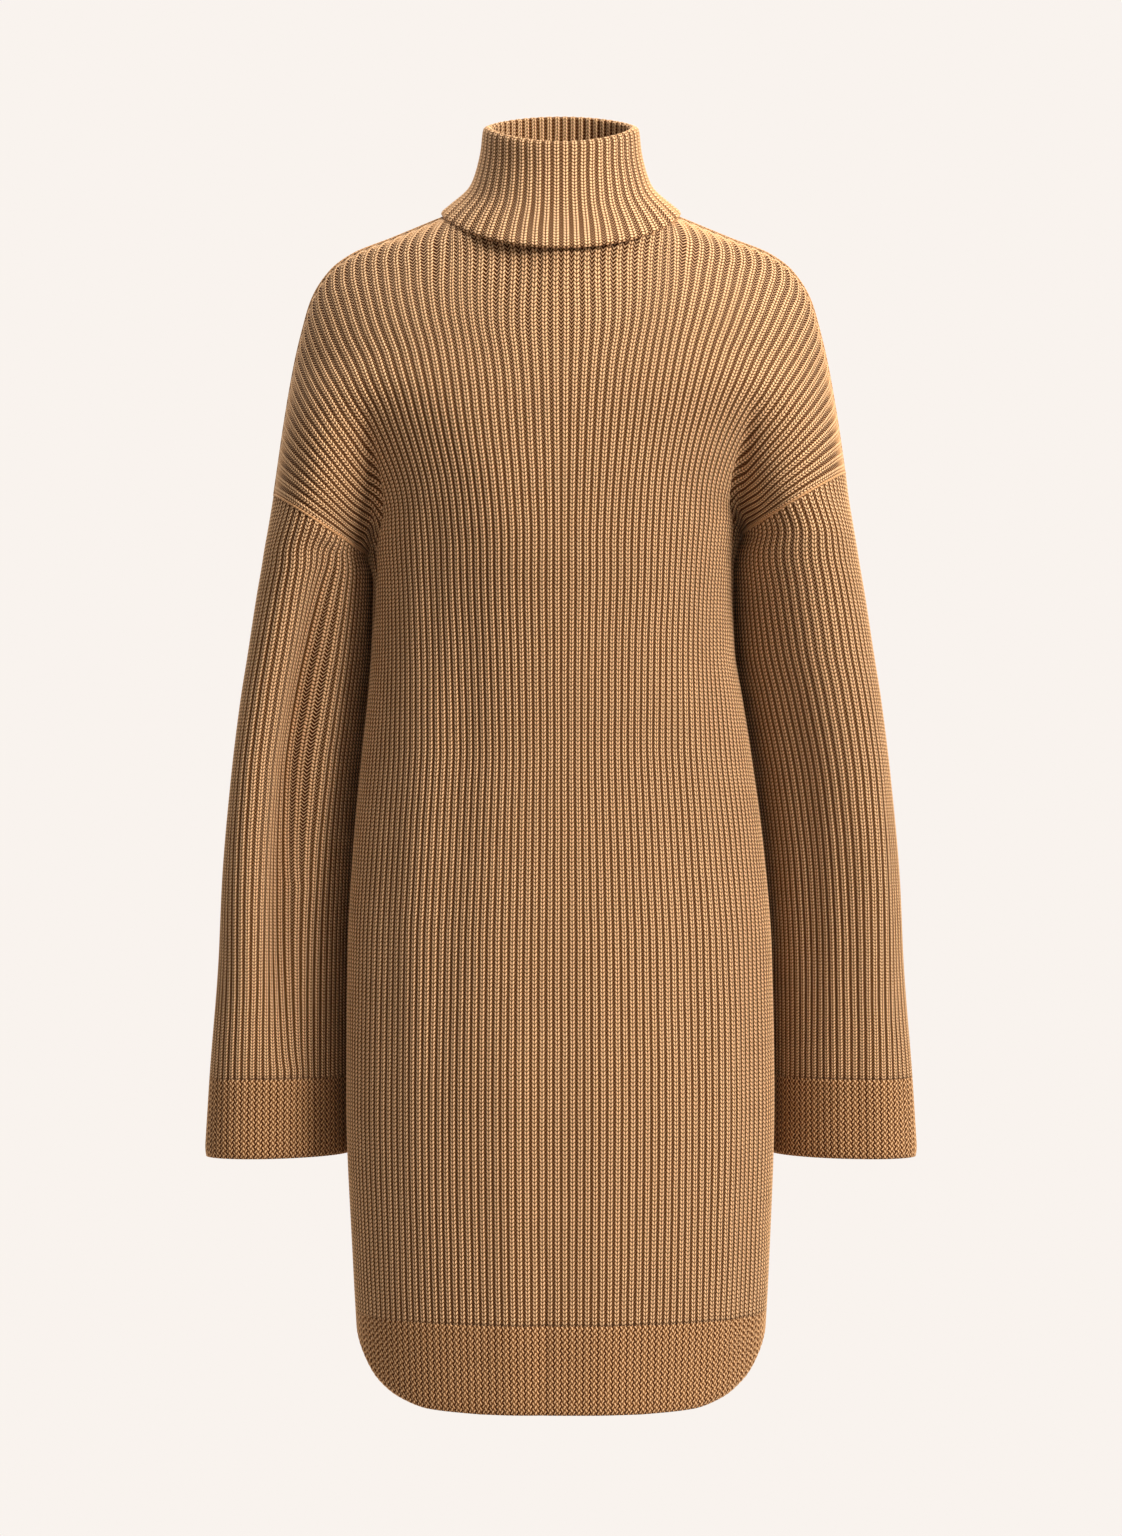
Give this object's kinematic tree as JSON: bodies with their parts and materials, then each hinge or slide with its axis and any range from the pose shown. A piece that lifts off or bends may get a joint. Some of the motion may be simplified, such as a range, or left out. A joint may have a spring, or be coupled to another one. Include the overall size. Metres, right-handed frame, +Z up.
{
  "type": "sweater dress",
  "caption": "Knitted roll-neck mini sweater dress with dropped shoulders, long wide sleeves and banded hem and cuffs, hollow, in the pose in which it is worn.",
  "frame": {"origin": "midway between the two points where the shoulder seams meet the neckline, where the wearer's neck and shoulders carry the dress", "axes": "-Y towards the front of the dress, +X towards the side on the right when seen from the front, +Z up"},
  "size_m": [0.5428, 0.2261, 0.9783],
  "materials": {
    "rib_knit": "soft wool-like rib knit, matt with a slight fuzz",
    "band_knit": "seed-stitch band of the same yarn, matt"
  },
  "bodies": {
    "root": {"front": "rib_knit", "back": "rib_knit", "sleeve_left": "rib_knit", "sleeve_right": "rib_knit", "collar": "rib_knit", "cuff_left": "band_knit", "cuff_right": "band_knit", "hem_front": "band_knit", "hem_back": "band_knit"}
  },
  "joints": []
}
